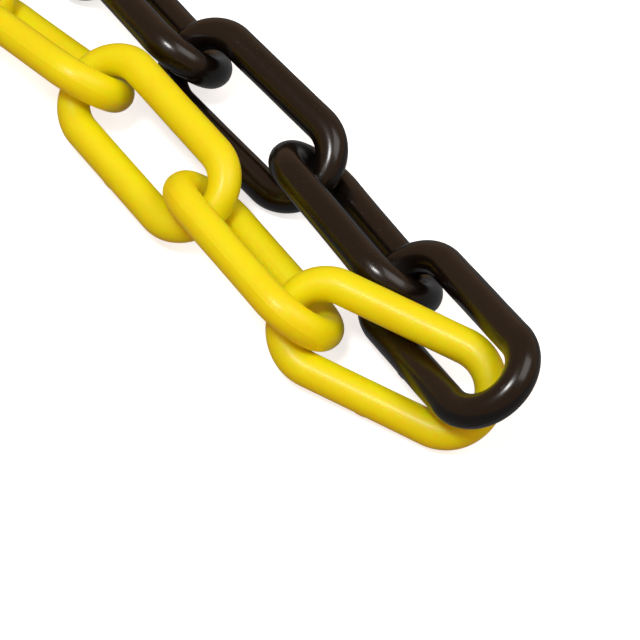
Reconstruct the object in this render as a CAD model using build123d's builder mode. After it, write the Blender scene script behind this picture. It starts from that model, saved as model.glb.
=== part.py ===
from build123d import *
import math
import os

# Plastic barrier chain in two colours: a yellow run and a black run of one moulded
# link, joined to each other and folded back side by side on the floor.
# Millimetres. Z is up and the floor is z = 0.

os.makedirs("parts", exist_ok=True)

# one link
rod = 8.0               # rod diameter along the two straight sides
end_rod = 7.0           # rod thickness, seen face on, at the middle of each end
inner_width = 11.5      # clear width between the straight sides
inner_length = 42.0     # clear length between the two ends
links_per_run = 12
play = 0.3              # air gap wanted between hooked links

end_radius = (inner_width + rod) / 2
reach = (inner_length + end_rod) / 2        # link centre to the rod centre at an end
half_straight = reach - end_radius

# (heading, rise, lean) in degrees of the links nearest the turn, walking away from it.
# Heading is in plan from +X, rise lifts the leading end, lean rolls about the link's length.
yellow_near = [(152, 2, -46), (126, 1, 45), (127, 2, -38), (135, -5, 45)]
black_near = [(117, -14, -32), (122, -2, 42), (131, 4, -38), (124, -3, 43)]
yellow_centre = (13.0, -19.5, 12.0)
black_centre = (26.0, -15.5, 16.5)

# past those, each run keeps leaning to one side and the other in turn and bends outwards
far_lean = (-42, 46)
first_bend = 8          # degrees between neighbours, one less at every link
slack_step = 0.2        # a link is let back by this much at a time, this many times at most
slack_steps = 18


def make_link():
    """One closed link: two straight round sides and two slightly slimmer ends."""
    with BuildPart() as link:
        with BuildLine() as bend:
            ThreePointArc((half_straight, end_radius, 0), (reach, 0, 0),
                          (half_straight, -end_radius, 0))
        side_plane = Plane(origin=(half_straight, end_radius, 0), x_dir=(0, 1, 0), z_dir=(1, 0, 0))
        with BuildSketch(side_plane) as side_section:
            Circle(rod / 2)
        with BuildSketch(Plane(origin=(reach, 0, 0), x_dir=(1, 0, 0), z_dir=(0, -1, 0))) as end_section:
            Ellipse(end_rod / 2, rod / 2)
        other_plane = Plane(origin=(half_straight, -end_radius, 0), x_dir=(0, -1, 0), z_dir=(-1, 0, 0))
        with BuildSketch(other_plane) as other_section:
            Circle(rod / 2)
        sweep(sections=[side_section.sketch, end_section.sketch, other_section.sketch],
              path=bend.line, multisection=True)
        mirror(about=Plane.YZ)
        with Locations((0, end_radius, 0), (0, -end_radius, 0)):
            Cylinder(rod / 2, 2 * half_straight, rotation=(0, 90, 0))
    return link.part


def rod_samples(steps=36):
    """Points along the rod's centre line, in the link's own plane."""
    samples = []
    for side in (1, -1):
        for i in range(24):
            samples.append((side * half_straight * (i / 12 - 1), side * end_radius))
        for i in range(steps):
            angle = math.pi * i / steps
            samples.append((side * (half_straight + end_radius * math.sin(angle)),
                            side * end_radius * math.cos(angle)))
    return samples


samples = rod_samples()


def facing(heading, rise, lean):
    """Unit vectors along a link and across it."""
    heading, rise, lean = (math.radians(value) for value in (heading, rise, lean))
    along = Vector(math.cos(rise) * math.cos(heading), math.cos(rise) * math.sin(heading), math.sin(rise))
    level = Vector(-math.sin(heading), math.cos(heading), 0)
    across = level * math.cos(lean) + along.cross(level) * math.sin(lean)
    return along, across


def rod_points(centre, pose):
    """The sampled rod of one placed link, as plain numbers."""
    along, across = facing(*pose)
    return [(centre.X + u * along.X + w * across.X,
             centre.Y + u * along.Y + w * across.Y,
             centre.Z + u * along.Z + w * across.Z) for u, w in samples]


def gap(first, second):
    """Least air between two rods of full thickness, so the links also clear as they swing."""
    return min(math.dist(a, b) for a in first for b in second) - rod


def hook_on(centre, pose, next_pose):
    """Centre of the next link: pulled tight, then let back in small steps until it clears."""
    along, _ = facing(*pose)
    next_along, _ = facing(*next_pose)
    between = (along + next_along).normalized()
    held = rod_points(centre, pose)
    tried = []
    for step in range(slack_steps):
        end = centre + along * reach - between * (end_rod + play + slack_step * step)
        next_centre = end + next_along * reach
        air = gap(held, rod_points(next_centre, next_pose))
        tried.append((air, next_centre))
        if air >= play:
            break
    return max(tried, key=lambda entry: entry[0])[1]


def lay_run(centre, near_poses, outward):
    """Centres and poses of one run. outward is +1 to bend left and -1 to bend right."""
    run = [(Vector(*centre), near_poses[0])]
    poses = list(near_poses[1:])
    heading = near_poses[-1][0]
    for step in range(links_per_run - len(near_poses)):
        heading += outward * max(first_bend - step, 0)
        poses.append((heading, 0, far_lean[step % 2]))
    for pose in poses:
        run.append((hook_on(*run[-1], pose), pose))
    return run


def placed(centre, pose):
    """Where a link goes: leaned, raised, turned and moved to its centre."""
    heading, rise, lean = pose
    turned = Rot(0, 0, heading) * Rot(0, -rise, 0) * Rot(lean, 0, 0)
    return Pos(*centre) * turned


one_link = make_link()
runs = {
    "yellow": lay_run(yellow_centre, yellow_near, 1),
    "black": lay_run(black_centre, black_near, -1),
}

chain = {}
for colour, run in runs.items():
    for number, (centre, pose) in enumerate(run, start=1):
        with BuildPart() as link:
            add(placed(centre, pose) * one_link)
        chain[f"{colour}_link_{number:02d}"] = link.part

# the chain lies with its box centred over the origin and its lowest link on the floor
whole = Compound(children=[Compound(part.wrapped) for part in chain.values()]).bounding_box()
shift = Pos(-(whole.min.X + whole.max.X) / 2, -(whole.min.Y + whole.max.Y) / 2, -whole.min.Z)

for name, part in chain.items():
    link = shift * part
    link.label = name
    export_step(link, f"parts/{name}.step")

print("links", len(chain), "box", whole.size)
print("shift", shift.position)
for colour, run in runs.items():
    for number, (centre, pose) in enumerate(run, start=1):
        print(colour, number, tuple(round(v, 2) for v in centre), pose)
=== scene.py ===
import math

import bpy
import numpy as np
from mathutils import Matrix, Vector


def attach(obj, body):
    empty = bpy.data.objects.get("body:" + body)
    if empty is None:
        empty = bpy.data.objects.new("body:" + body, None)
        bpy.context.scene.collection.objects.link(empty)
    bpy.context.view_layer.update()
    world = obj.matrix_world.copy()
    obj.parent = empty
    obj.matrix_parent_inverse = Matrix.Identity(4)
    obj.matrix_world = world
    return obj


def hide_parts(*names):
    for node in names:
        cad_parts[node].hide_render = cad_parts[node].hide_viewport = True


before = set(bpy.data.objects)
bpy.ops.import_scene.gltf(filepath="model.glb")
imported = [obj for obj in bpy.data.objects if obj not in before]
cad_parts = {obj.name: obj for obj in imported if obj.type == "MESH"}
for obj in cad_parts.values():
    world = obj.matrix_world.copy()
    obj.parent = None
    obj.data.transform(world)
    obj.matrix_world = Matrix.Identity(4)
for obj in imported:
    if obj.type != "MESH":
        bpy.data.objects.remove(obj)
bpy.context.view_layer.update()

# Plastic barrier chain, yellow and black, lying folded back beside itself. Metres, z up.
mm = 0.001
print("frame loaded with", len(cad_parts), "links")


def addObject(name, data):
    thing = bpy.data.objects.new(name, data)
    bpy.context.scene.collection.objects.link(thing)
    return thing


# What a user would change on a link. The rest of its size is read from the frame.
linkShape = {
    "endSlimming": 0.875,         # thickness across the rod at an end, as a share of the sides'
    "sideStep": 0.8 * mm,         # mesh spacing along a side, and finer about the gate
    "gateStep": 0.25 * mm,
    "endSteps": 44,               # mesh rows round each end
    "ringSteps": 21,              # mesh columns round half the rod, besides those at the ridge
    "partingHeight": 0.05 * mm,   # fine ridge where the two mould halves met
    "partingHalfWidth": 0.26 * mm,
    "gateRadius": 1.3 * mm,       # round scar where the plastic was let in
    "gateHeight": 0.15 * mm,
    "sinkDepth": 0.07 * mm,       # sides sink a little as the thick rod cools
    "sinkAtPlane": 0.35,          # share of that sink at the parting plane
    "unevenness": 0.05 * mm,
}


def linkPlace(node):
    # the link is symmetric, so the spread of its surface gives its middle and its three axes
    mesh = node.data
    mesh.calc_loop_triangles()
    corners = np.array([v.co for v in mesh.vertices])
    triangles = corners[np.array([t.vertices for t in mesh.loop_triangles])]
    normals = np.cross(triangles[:, 1] - triangles[:, 0], triangles[:, 2] - triangles[:, 0])
    areas = np.linalg.norm(normals, axis=1)
    middles = triangles.mean(axis=1)
    centre = np.average(middles, axis=0, weights=areas)
    offsets = middles - centre
    _, axes = np.linalg.eigh((offsets * areas[:, None]).T @ offsets)
    through, along = axes[:, 0], axes[:, 2]
    if through[2] < 0:
        through = -through
    across = np.cross(through, along)
    if across[2] > 0:             # the side with the gate scar is the lower one
        along, across = -along, -across
    turned = np.stack([along, across, through], axis=1)
    reach = np.abs((corners - centre) @ turned).max(axis=0)
    place = Matrix.Identity(4)
    for row in range(3):
        for column in range(3):
            place[row][column] = turned[row, column]
        place[row][3] = centre[row]
    return place, reach


def sidePositions(halfSide):
    # mesh rows along a side, close together about the gate and wider apart towards the ends
    shape = linkShape
    fine = np.arange(0, 1.3 * shape["gateRadius"], shape["gateStep"])
    coarseCount = math.ceil((halfSide - fine[-1]) / shape["sideStep"])
    coarse = np.linspace(fine[-1], halfSide, coarseCount + 1)[1:]
    half = np.concatenate([fine, coarse])
    return np.concatenate([-half[:0:-1], half])[:-1]


def rodPath(reach):
    # rows round the link: place in its plane, outward direction and distance from the first row
    rod = 2 * reach[2]
    endRod = rod * linkShape["endSlimming"]
    radius = reach[1] - rod / 2
    halfSide = reach[0] - endRod / 2 - radius
    along = sidePositions(halfSide)
    angles = np.arange(linkShape["endSteps"]) * math.pi / linkShape["endSteps"]
    rows = []
    for sign in (1, -1):
        for x in along:
            rows.append((sign * x, sign * radius, 0, sign))
        for angle in angles:
            outX, outY = sign * math.sin(angle), sign * math.cos(angle)
            rows.append((sign * halfSide + radius * outX, radius * outY, outX, outY))
    rows = np.array(rows)
    steps = np.linalg.norm(np.roll(rows[:, :2], -1, axis=0) - rows[:, :2], axis=1)
    travelled = np.concatenate([[0], np.cumsum(steps)[:-1]])
    return rows, travelled, steps.sum(), rod, halfSide


def ringAngles():
    # columns round the rod, close together where the parting ridge runs outside and inside
    nearRidge = [0, 1.6, 3.2, 5.2, 8.5]       # degrees
    between = np.linspace(nearRidge[-1], 180 - nearRidge[-1], linkShape["ringSteps"])[1:-1]
    half = nearRidge + list(between) + [180 - a for a in reversed(nearRidge)]
    return np.radians(np.array(half + [-a for a in reversed(half[1:-1])]))


def ringFaces(rowCount, ringCount):
    faces = []
    for row in range(rowCount):
        here, following = row * ringCount, (row + 1) % rowCount * ringCount
        for column in range(ringCount):
            beside = (column + 1) % ringCount
            faces.append((here + column, here + beside, following + beside, following + column))
    return faces


def linkMesh(name, place, reach, seed):
    shape = linkShape
    rows, travelled, total, rod, halfSide = rodPath(reach)
    angles = ringAngles()
    random = np.random.default_rng(seed)
    phases = random.uniform(0, 2 * math.pi, 8)
    turn = 2 * math.pi * travelled / total

    # slimmer ends and sunk sides
    endShare = rows[:, 2] ** 2
    halfPlane = rod / 2 * (1 - (1 - shape["endSlimming"]) * endShare)
    onSide = np.clip(1 - np.abs(rows[:, 0]) / halfSide, 0, 1)
    sink = shape["sinkDepth"] * onSide ** 0.5
    # the rod and its ridge waver along the link, each link in its own way
    wave = sum(np.sin((k + 2) * turn + phases[k]) for k in range(5)) / 5
    ridgeWave = 0.8 + 0.35 * np.sin(5 * turn + phases[5]) * np.sin(11 * turn + phases[6])

    vertices, ridgeMask, rubMask, rodPoint = [], [], [], []
    for i, (x, y, outX, outY) in enumerate(rows):
        for angle in angles:
            outward, upward = math.cos(angle), math.sin(angle)
            arc = abs(upward) * rod / 2
            ridge = math.exp(-(arc / shape["partingHalfWidth"]) ** 2)
            extra = shape["partingHeight"] * ridge * ridgeWave[i]
            extra -= sink[i] * (shape["sinkAtPlane"] + (1 - shape["sinkAtPlane"]) * upward ** 2)
            extra += shape["unevenness"] * wave[i] * math.sin(angle + phases[7]) - shape["unevenness"]
            if y > 0 and outX == 0 and outward > 0:
                off = math.hypot(x, arc) / shape["gateRadius"]
                extra += shape["gateHeight"] * (1 - off ** 4 if off < 1 else 0)
            outLength = (halfPlane[i] + extra) * outward
            vertices.append((x + outX * outLength, y + outY * outLength, (rod / 2 + extra) * upward))
            # masks: the ridge, the inside of the ends, and a place along and across the rod
            ridgeMask.append(ridge)
            rubMask.append(max(0.0, -outward) ** 2 * abs(outX) ** 3)
            rodPoint += [min(travelled[i], total - travelled[i]), rod / 2 * outward, rod / 2 * upward]

    mesh = bpy.data.meshes.new(name)
    mesh.from_pydata(vertices, [], ringFaces(len(rows), len(angles)))
    mesh.update()
    mesh.polygons.foreach_set("use_smooth", [True] * len(mesh.polygons))
    for label, values in (("ridge", ridgeMask), ("rub", rubMask)):
        layer = mesh.attributes.new(label, "FLOAT", "POINT")
        layer.data.foreach_set("value", values)
    mesh.attributes.new("rodPoint", "FLOAT_VECTOR", "POINT").data.foreach_set("vector", rodPoint)
    mesh.transform(place)
    mesh.update()
    return mesh


def addNode(tree, kind, at, **settings):
    node = tree.nodes.new(kind)
    node.location = at
    for key, value in settings.items():
        setattr(node, key, value)
    return node


def feed(tree, value, socket):
    # a socket takes a plain number, a colour or another node's output
    if isinstance(value, (int, float)):
        socket.default_value = value
    elif isinstance(value, tuple):
        socket.default_value = (*value, 1)
    else:
        tree.links.new(value, socket)


def clearedTree(owner):
    owner.use_nodes = True
    owner.node_tree.nodes.clear()
    return owner.node_tree


def addMath(tree, operation, at, *values, clamp=False):
    node = addNode(tree, "ShaderNodeMath", at, operation=operation, use_clamp=clamp)
    for index, value in enumerate(values):
        feed(tree, value, node.inputs[index])
    return node.outputs[0]


def addRange(tree, value, low, high, at):
    node = addNode(tree, "ShaderNodeMapRange", at, interpolation_type="SMOOTHSTEP")
    node.inputs["From Min"].default_value = low
    node.inputs["From Max"].default_value = high
    tree.links.new(value, node.inputs["Value"])
    return node.outputs["Result"]


def newGroup(name, inputs, outputs):
    group = bpy.data.node_groups.new(name, "ShaderNodeTree")
    for label, value in inputs.items():
        socket = group.interface.new_socket(label, in_out="INPUT", socket_type="NodeSocketFloat")
        socket.default_value = value
    for label in outputs:
        group.interface.new_socket(label, in_out="OUTPUT", socket_type="NodeSocketFloat")
    entry = addNode(group, "NodeGroupInput", (-1200, 0))
    leave = addNode(group, "NodeGroupOutput", (800, 0))
    return group, entry, leave


def objectPoint(tree, at):
    # every link's mesh is laid out in the chain's own frame, so no two links get the same pattern
    return addNode(tree, "ShaderNodeTexCoord", at).outputs["Object"]


def addNoise(tree, point, scale, detail, at, roughness=0.5, distortion=0.0):
    node = addNode(tree, "ShaderNodeTexNoise", at)
    tree.links.new(point, node.inputs["Vector"])
    node.inputs["Scale"].default_value = scale
    node.inputs["Detail"].default_value = detail
    node.inputs["Roughness"].default_value = roughness
    node.inputs["Distortion"].default_value = distortion
    return node.outputs["Fac"]


# Noise scales per metre: the larger, the finer the pattern.
skinPattern = {"swell": 90, "peel": 1400, "cloud": 55}
marksPattern = {"hair": 2600, "patches": 130}
dustPattern = {"specks": 2100, "drift": 80}


def makeMouldSkin():
    # the slow swell and fine orange peel of a polished mould's surface
    group, entry, leave = newGroup("mouldSkin", {"Swell": 1.0, "Peel": 0.2}, ["Height", "Cloud"])
    point = objectPoint(group, (-1000, -200))
    swell = addNoise(group, point, skinPattern["swell"], 2, (-500, 100))
    peel = addNoise(group, point, skinPattern["peel"], 3, (-500, -150))
    cloud = addNoise(group, point, skinPattern["cloud"], 4, (-500, -400), roughness=0.6, distortion=0.8)
    slow = addMath(group, "MULTIPLY", (-200, 100), swell, entry.outputs["Swell"])
    fine = addMath(group, "MULTIPLY", (-200, -150), peel, entry.outputs["Peel"])
    group.links.new(addMath(group, "ADD", (100, 0), slow, fine), leave.inputs["Height"])
    group.links.new(addRange(group, cloud, 0.35, 0.68, (100, -400)), leave.inputs["Cloud"])
    return group


def makeHandlingMarks():
    # fine scratches along the rod, and dull patches where the next link rubs
    amounts = {"Scratches": 0.5, "Rubbing": 0.6}
    group, entry, leave = newGroup("handlingMarks", amounts, ["Marks", "Rubbed"])
    point = objectPoint(group, (-1000, -200))
    rodPoint = addNode(group, "ShaderNodeAttribute", (-1000, 200), attribute_name="rodPoint")
    rub = addNode(group, "ShaderNodeAttribute", (-1000, 450), attribute_name="rub")
    stretched = addNode(group, "ShaderNodeVectorMath", (-600, 100), operation="MULTIPLY")
    group.links.new(rodPoint.outputs["Vector"], stretched.inputs[0])
    stretched.inputs[1].default_value = (0.10, 1.0, 1.0)     # ten times longer along the rod
    hair = addNoise(group, stretched.outputs[0], marksPattern["hair"], 2, (-250, -150))
    patches = addNoise(group, point, marksPattern["patches"], 3, (-250, -400))
    thin = addRange(group, hair, 0.66, 0.74, (0, -150))
    where = addRange(group, patches, 0.48, 0.64, (0, -400))
    seen = addMath(group, "MULTIPLY", (200, -250), thin, where)
    group.links.new(addMath(group, "MULTIPLY", (600, -150), seen, entry.outputs["Scratches"]),
                    leave.inputs["Marks"])
    mottling = addRange(group, patches, 0.3, 0.7, (0, -600))
    mottled = addMath(group, "MULTIPLY", (300, 450), rub.outputs["Fac"], mottling)
    group.links.new(addMath(group, "MULTIPLY", (600, 300), mottled, entry.outputs["Rubbing"], clamp=True),
                    leave.inputs["Rubbed"])
    return group


def makeDust():
    # a little dust on what faces up
    group, entry, leave = newGroup("settledDust", {"Amount": 0.1}, ["Dust"])
    point = objectPoint(group, (-1000, -200))
    geometry = addNode(group, "ShaderNodeNewGeometry", (-1000, 300))
    split = addNode(group, "ShaderNodeSeparateXYZ", (-800, 300))
    group.links.new(geometry.outputs["Normal"], split.inputs[0])
    facingUp = addRange(group, split.outputs["Z"], 0.35, 0.95, (-500, 300))
    fine = addNoise(group, point, dustPattern["specks"], 4, (-500, -100), roughness=0.7)
    specks = addRange(group, fine, 0.60, 0.72, (-200, -100))
    slow = addNoise(group, point, dustPattern["drift"], 3, (-500, -350))
    drift = addRange(group, slow, 0.45, 0.70, (-200, -350))
    lying = addMath(group, "MULTIPLY", (0, -200), specks, drift)
    above = addMath(group, "MULTIPLY", (200, 0), lying, facingUp)
    group.links.new(addMath(group, "MULTIPLY", (500, 0), above, entry.outputs["Amount"], clamp=True),
                    leave.inputs["Dust"])
    return group


def useGroup(tree, group, at, **values):
    node = addNode(tree, "ShaderNodeGroup", at, node_tree=group)
    for label, value in values.items():
        node.inputs[label].default_value = value
    return node


def mixColour(tree, share, first, second, at):
    # a mix node keeps its two colours on inputs 6 and 7, and their mix on output 2
    node = addNode(tree, "ShaderNodeMix", at, data_type="RGBA")
    feed(tree, share, node.inputs["Factor"])
    feed(tree, first, node.inputs[6])
    feed(tree, second, node.inputs[7])
    return node.outputs[2]


yellowPlastic = {
    "colour": (0.88, 0.83, 0.002),
    "deepColour": (0.88, 0.79, 0.001),
    "rubbedColour": (0.90, 0.78, 0.05),
    "roughness": 0.45,
    "rubbedRoughness": 0.52,
    "glow": 0.90,                 # share of light that enters the plastic
    "glowReach": 0.0045,
    "shine": 0.38,
    "coat": 0.14,
    "coatRoughness": 0.24,
    "scratches": 0.35,
    "dust": 0.05,
}

blackPlastic = {
    "colour": (0.0050, 0.0030, 0.0022),
    "deepColour": (0.0030, 0.0018, 0.0013),
    "rubbedColour": (0.022, 0.020, 0.019),
    "roughness": 0.25,
    "rubbedRoughness": 0.38,
    "glow": 0.0,
    "glowReach": 0.001,
    "shine": 0.40,
    "coat": 0.25,
    "coatRoughness": 0.12,
    "scratches": 0.5,
    "dust": 0.12,
}

# What both plastics share.
commonFinish = {
    "swell": 1.0,
    "peel": 0.05,
    "rubbing": 0.8,
    "ridgeDulling": 0.35,
    "scratchDepth": 0.15,         # beside a swell of 1
    "bumpStrength": 0.6,
    "bumpHeight": 0.22 * mm,
    "dustColour": (0.55, 0.52, 0.47),
    "ior": 1.5,
    "glowTint": (1.0, 0.42, 0.05),            # red light travels furthest in the plastic
}


def plasticMaterial(name, finish, groups):
    material = bpy.data.materials.new(name)
    tree = clearedTree(material)
    output = addNode(tree, "ShaderNodeOutputMaterial", (1000, 0))
    shader = addNode(tree, "ShaderNodeBsdfPrincipled", (700, 0))
    tree.links.new(shader.outputs[0], output.inputs["Surface"])

    common = commonFinish
    skin = useGroup(tree, groups["skin"], (-700, -400), Swell=common["swell"], Peel=common["peel"])
    marks = useGroup(tree, groups["marks"], (-700, 0), Scratches=finish["scratches"],
                     Rubbing=common["rubbing"])
    dust = useGroup(tree, groups["dust"], (-700, 300), Amount=finish["dust"])
    ridge = addNode(tree, "ShaderNodeAttribute", (-700, -700), attribute_name="ridge")

    # colour: clouded pigment, a little paler where rubbed or scratched, dust on top
    clouded = mixColour(tree, skin.outputs["Cloud"], finish["colour"], finish["deepColour"], (-300, 200))
    worn = addMath(tree, "MAXIMUM", (-300, 0), marks.outputs["Rubbed"], marks.outputs["Marks"])
    rubbed = mixColour(tree, worn, clouded, finish["rubbedColour"], (0, 200))
    dusty = mixColour(tree, dust.outputs["Dust"], rubbed, common["dustColour"], (300, 200))
    tree.links.new(dusty, shader.inputs["Base Color"])

    # gloss: duller where rubbed and on the parting ridge
    ridgeShare = addMath(tree, "MULTIPLY", (-400, -650), ridge.outputs["Fac"], common["ridgeDulling"])
    dull = addMath(tree, "MAXIMUM", (-100, -200), worn, ridgeShare)
    rough = addNode(tree, "ShaderNodeMapRange", (200, -200))
    rough.inputs["To Min"].default_value = finish["roughness"]
    rough.inputs["To Max"].default_value = finish["rubbedRoughness"]
    tree.links.new(dull, rough.inputs["Value"])
    tree.links.new(rough.outputs["Result"], shader.inputs["Roughness"])

    # relief: mould texture, with the scratches cut into it
    lowered = addMath(tree, "MULTIPLY_ADD", (0, -450), marks.outputs["Marks"], -common["scratchDepth"],
                      skin.outputs["Height"])
    bump = addNode(tree, "ShaderNodeBump", (300, -450))
    bump.inputs["Strength"].default_value = common["bumpStrength"]
    bump.inputs["Distance"].default_value = common["bumpHeight"]
    tree.links.new(lowered, bump.inputs["Height"])
    tree.links.new(bump.outputs["Normal"], shader.inputs["Normal"])

    shader.inputs["IOR"].default_value = common["ior"]
    shader.inputs["Specular IOR Level"].default_value = finish["shine"]
    shader.inputs["Subsurface Weight"].default_value = finish["glow"]
    shader.inputs["Subsurface Radius"].default_value = common["glowTint"]
    shader.inputs["Subsurface Scale"].default_value = finish["glowReach"]
    shader.inputs["Coat Weight"].default_value = finish["coat"]
    shader.inputs["Coat Roughness"].default_value = finish["coatRoughness"]
    return material


groups = {"skin": makeMouldSkin(), "marks": makeHandlingMarks(), "dust": makeDust()}
materials = {
    "yellow": plasticMaterial("yellowPlastic", yellowPlastic, groups),
    "black": plasticMaterial("blackPlastic", blackPlastic, groups),
}
print("plastics ready:", ", ".join(materials))

firstSeed = 40
for seed, (nodeName, node) in enumerate(sorted(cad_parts.items()), start=firstSeed):
    colour = nodeName.split("_")[0]
    place, reach = linkPlace(node)
    mesh = linkMesh(nodeName + "_mesh", place, reach, seed)
    link = addObject("moulded_" + nodeName, mesh)
    link.data.materials.append(materials[colour])
    node.data.materials.clear()
    node.data.materials.append(materials[colour])
    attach(link, nodeName)
    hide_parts(nodeName)
print("links moulded:", len(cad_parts))


stageSetup = {
    "floorSize": 6.0,
    "floorColour": (0.85, 0.85, 0.85),
    "floorLift": 0.72,            # light given out by the floor, so that it stays white under soft shadows
    "floorBounce": (0.42, 0.30, 0.16),        # the floor's colour as the links are lit by it
    "floorReflection": 0.18,      # how bright the floor is in the links' gloss
    "backdrop": 1.0,
    "roomColour": (1.0, 0.62, 0.38),
    "roomLight": 0.46,            # what the links get from all round
}


def addSurface(tree, kind, at, **settings):
    node = addNode(tree, kind, at)
    for label, value in settings.items():
        feed(tree, value, node.inputs[label])
    return node.outputs[0]


def mixSurfaces(tree, share, first, second, at):
    node = addNode(tree, "ShaderNodeMixShader", at)
    for index, value in enumerate((share, first, second)):
        tree.links.new(value, node.inputs[index])
    return node.outputs[0]


def makeFloor():
    # the floor shows white but throws only a little light back, as under a light tent
    setup = stageSetup
    half = setup["floorSize"] / 2
    mesh = bpy.data.meshes.new("floor")
    corners = [(-half, -half, 0), (half, -half, 0), (half, half, 0), (-half, half, 0)]
    mesh.from_pydata(corners, [], [(0, 1, 2, 3)])
    floor = addObject("floor", mesh)
    material = bpy.data.materials.new("paleFloor")
    tree = clearedTree(material)
    output = addNode(tree, "ShaderNodeOutputMaterial", (600, 0))
    path = addNode(tree, "ShaderNodeLightPath", (-600, 300))
    dim = addSurface(tree, "ShaderNodeBsdfDiffuse", (-400, 100), Color=setup["floorBounce"])
    reflected = addSurface(tree, "ShaderNodeEmission", (-400, -50), Strength=setup["floorReflection"])
    seenByLinks = mixSurfaces(tree, path.outputs["Is Glossy Ray"], dim, reflected, (-150, 50))
    bright = addSurface(tree, "ShaderNodeBsdfDiffuse", (-200, -200), Color=setup["floorColour"])
    lift = addSurface(tree, "ShaderNodeEmission", (-200, -400), Strength=setup["floorLift"])
    lifted = addNode(tree, "ShaderNodeAddShader", (50, -250))
    tree.links.new(bright, lifted.inputs[0])
    tree.links.new(lift, lifted.inputs[1])
    chosen = mixSurfaces(tree, path.outputs["Is Camera Ray"], seenByLinks, lifted.outputs[0], (300, 0))
    tree.links.new(chosen, output.inputs["Surface"])
    mesh.materials.append(material)


def makeWorld():
    # the camera sees a white backdrop, and the links get a warm room all round
    world = bpy.data.worlds.new("studio")
    tree = clearedTree(world)
    output = addNode(tree, "ShaderNodeOutputWorld", (600, 0))
    path = addNode(tree, "ShaderNodeLightPath", (-400, 200))
    room = addSurface(tree, "ShaderNodeBackground", (-100, 0), Color=stageSetup["roomColour"],
                      Strength=stageSetup["roomLight"])
    backdrop = addSurface(tree, "ShaderNodeBackground", (-100, -200), Color=(1.0, 1.0, 1.0),
                          Strength=stageSetup["backdrop"])
    chosen = mixSurfaces(tree, path.outputs["Is Camera Ray"], room, backdrop, (300, 0))
    tree.links.new(chosen, output.inputs["Surface"])
    bpy.context.scene.world = world


def directionFrom(azimuth, elevation):
    # azimuth turns from -Y towards +X, in degrees
    azimuth, elevation = math.radians(azimuth), math.radians(elevation)
    level = math.cos(elevation)
    return Vector((math.sin(azimuth) * level, -math.cos(azimuth) * level, math.sin(elevation)))


def aimed(position, target, roll=0.0):
    toward = (Vector(target) - Vector(position)).normalized()
    turned = toward.to_track_quat("-Z", "Y").to_matrix().to_4x4()
    return Matrix.Translation(position) @ turned @ Matrix.Rotation(roll, 4, "Z")


# Angles in degrees, lengths in metres, power in watts.
softBoxes = {
    "key": {"azimuth": -35, "elevation": 68, "distance": 1.2, "size": (0.28, 0.22), "power": 6.8},
    "rightFill": {"azimuth": 80, "elevation": 55, "distance": 1.6, "size": (1.0, 1.0), "power": 7.0},
}


def makeSoftBox(name, box, target):
    data = bpy.data.lights.new(name, "AREA")
    data.shape = "RECTANGLE"
    data.size, data.size_y = box["size"]
    data.energy = box["power"]
    position = Vector(target) + directionFrom(box["azimuth"], box["elevation"]) * box["distance"]
    light = addObject(name, data)
    light.matrix_world = aimed(position, target)


cameraSetup = {
    "elevation": 51.4,            # degrees above the floor
    "azimuth": -5.6,
    "roll": 6.6,
    "distance": 0.612,
    "lens": 154.5,                # in mm, on a sensor 36 mm wide
    "sensorWidth": 36,
    "lookAt": (0.1724, -0.1906, -0.0001),
}


def makeCamera():
    setup = cameraSetup
    target = Vector(setup["lookAt"])
    position = target + directionFrom(setup["azimuth"], setup["elevation"]) * setup["distance"]
    data = bpy.data.cameras.new("camera")
    data.sensor_width = setup["sensorWidth"]
    data.lens = setup["lens"]
    data.clip_start = 0.01
    camera = addObject("camera", data)
    camera.matrix_world = aimed(position, target, math.radians(setup["roll"]))
    bpy.context.scene.camera = camera


makeFloor()
makeWorld()
for name, box in softBoxes.items():
    makeSoftBox(name, box, cameraSetup["lookAt"])
print("stage lit by", len(softBoxes), "soft boxes")
makeCamera()
bpy.context.scene.view_settings.view_transform = "Standard"
print("camera set")
